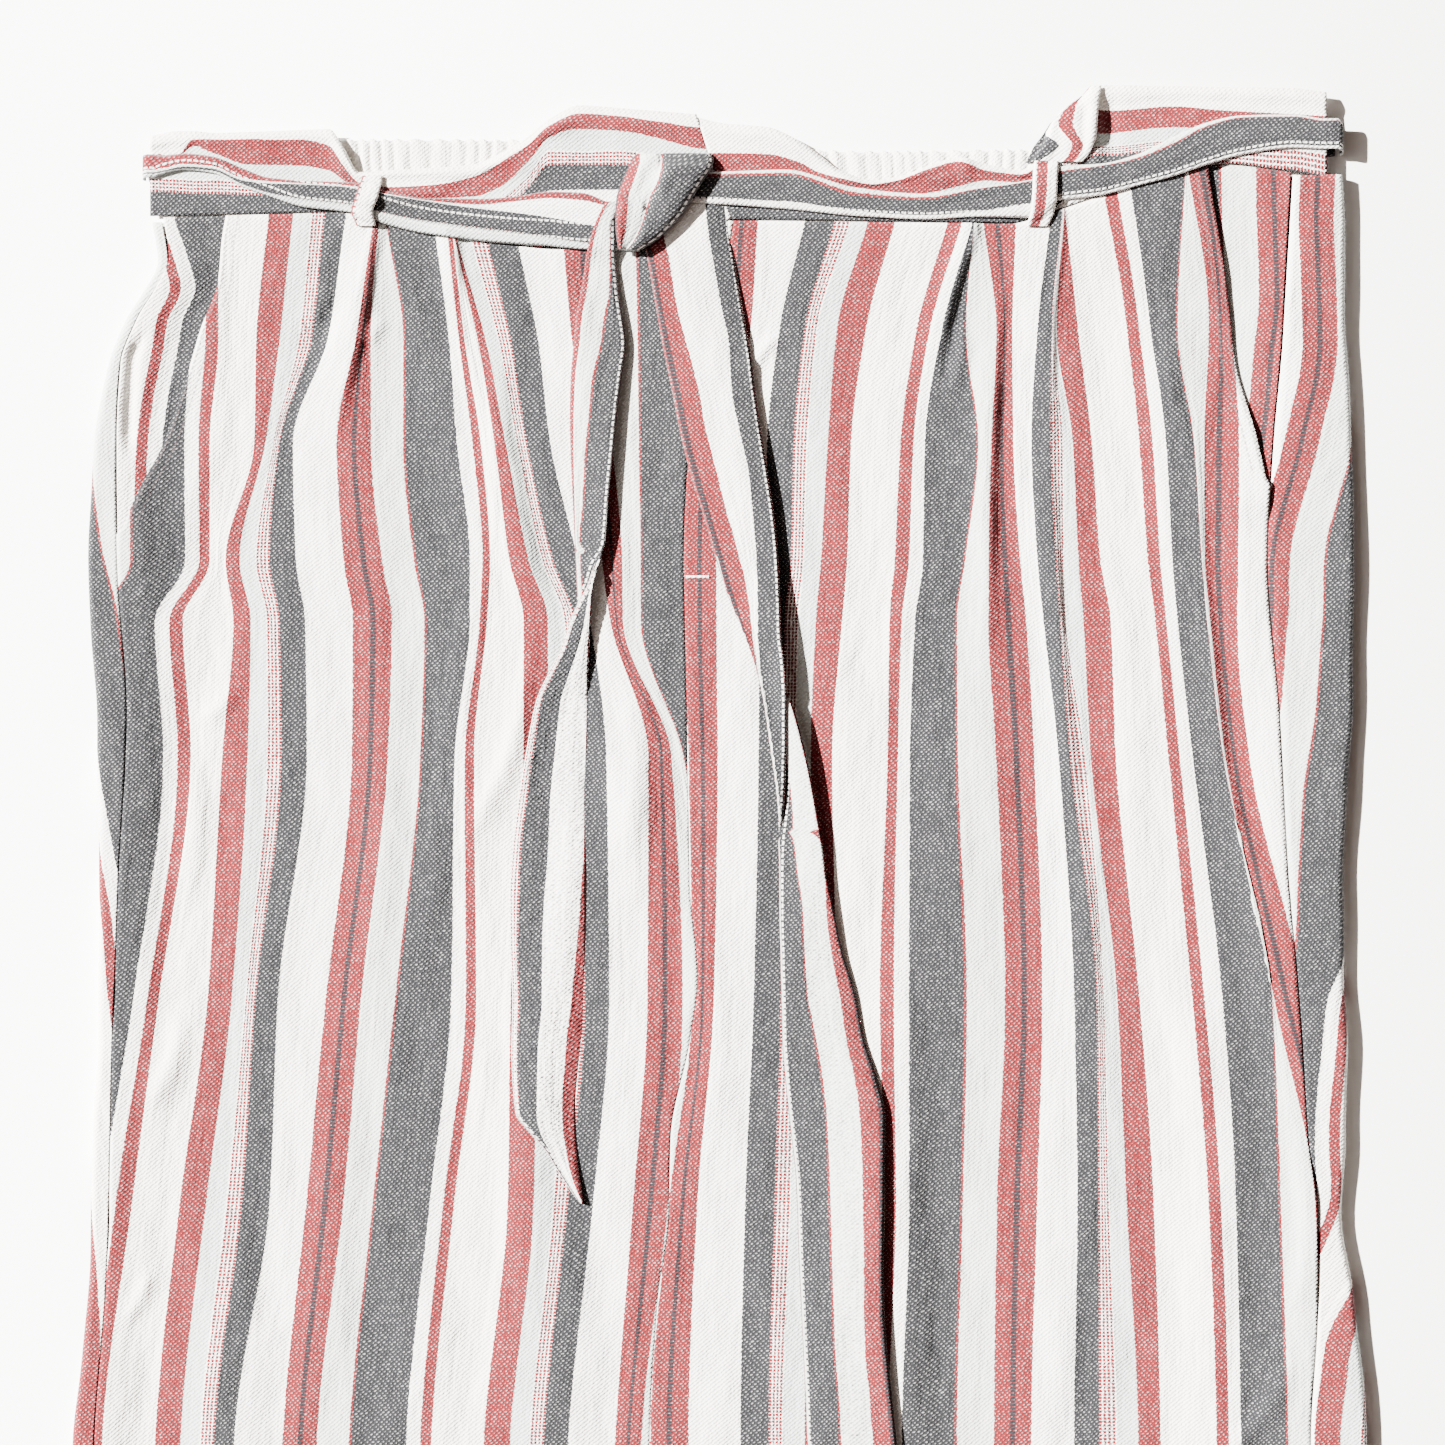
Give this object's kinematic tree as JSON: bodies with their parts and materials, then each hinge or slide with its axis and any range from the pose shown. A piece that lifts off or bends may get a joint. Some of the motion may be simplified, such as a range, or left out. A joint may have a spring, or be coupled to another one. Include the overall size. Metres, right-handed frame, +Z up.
{
  "type": "lounge pants",
  "caption": "Striped woven lounge pants with a pleated front, slant pockets, elastic back waist and tied fabric belt, lying flat on their back.",
  "frame": {"origin": "on the floor under the middle of the garment's outline", "axes": "+Y towards the waist, +Z up out of the front, +X towards the wearer's left leg"},
  "size_m": [0.5538, 1, 0.0175],
  "materials": {
    "striped_cotton": "matt woven stripe",
    "band_cotton": "matt woven stripe, cut crosswise",
    "cream_cotton": "matt plain weave",
    "belt_cotton": "matt woven stripe, folded and topstitched",
    "loop_cotton": "matt woven cotton"
  },
  "bodies": {
    "root": {"right_front": "striped_cotton", "left_front": "striped_cotton", "right_back": "striped_cotton", "left_back": "striped_cotton", "right_pocket_facing": "striped_cotton", "left_pocket_facing": "striped_cotton", "front_band_right": "band_cotton", "front_band_left": "band_cotton", "back_band": "cream_cotton", "belt_back": "belt_cotton", "belt_run_right": "belt_cotton", "belt_run_left": "belt_cotton", "belt_knot": "belt_cotton", "belt_tail_right": "belt_cotton", "belt_tail_left": "belt_cotton", "right_belt_loop": "loop_cotton", "left_belt_loop": "loop_cotton"}
  },
  "joints": []
}
